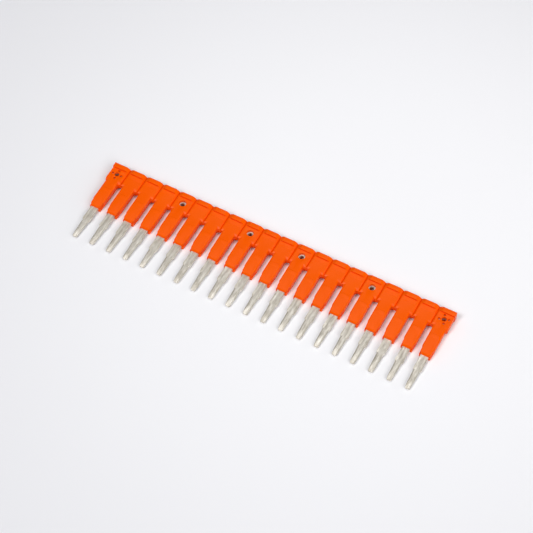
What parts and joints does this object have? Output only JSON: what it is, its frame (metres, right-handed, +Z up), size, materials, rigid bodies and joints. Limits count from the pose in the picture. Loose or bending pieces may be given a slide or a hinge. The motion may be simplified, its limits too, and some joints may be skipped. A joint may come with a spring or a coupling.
{
  "type": "terminal block jumper",
  "caption": "Flat plug-in jumper comb: a row of insulated fingers on a common bar, each with a bare flat contact prong, for joining neighbouring rail terminals.",
  "frame": {"origin": "middle of the outline, on the surface that the lip's back lies on", "axes": "+X along the row of poles, +Y from the prong tips to the lip, +Z up through the thickness"},
  "size_m": [0.1014, 0.0252, 0.0029],
  "materials": {
    "tinned_copper": "dull tin plate on stamped copper alloy",
    "orange_polyamide": "smooth moulded polyamide with a slight sheen"
  },
  "bodies": {
    "root": {"contact_comb": "tinned_copper", "housing": "orange_polyamide"}
  },
  "joints": []
}
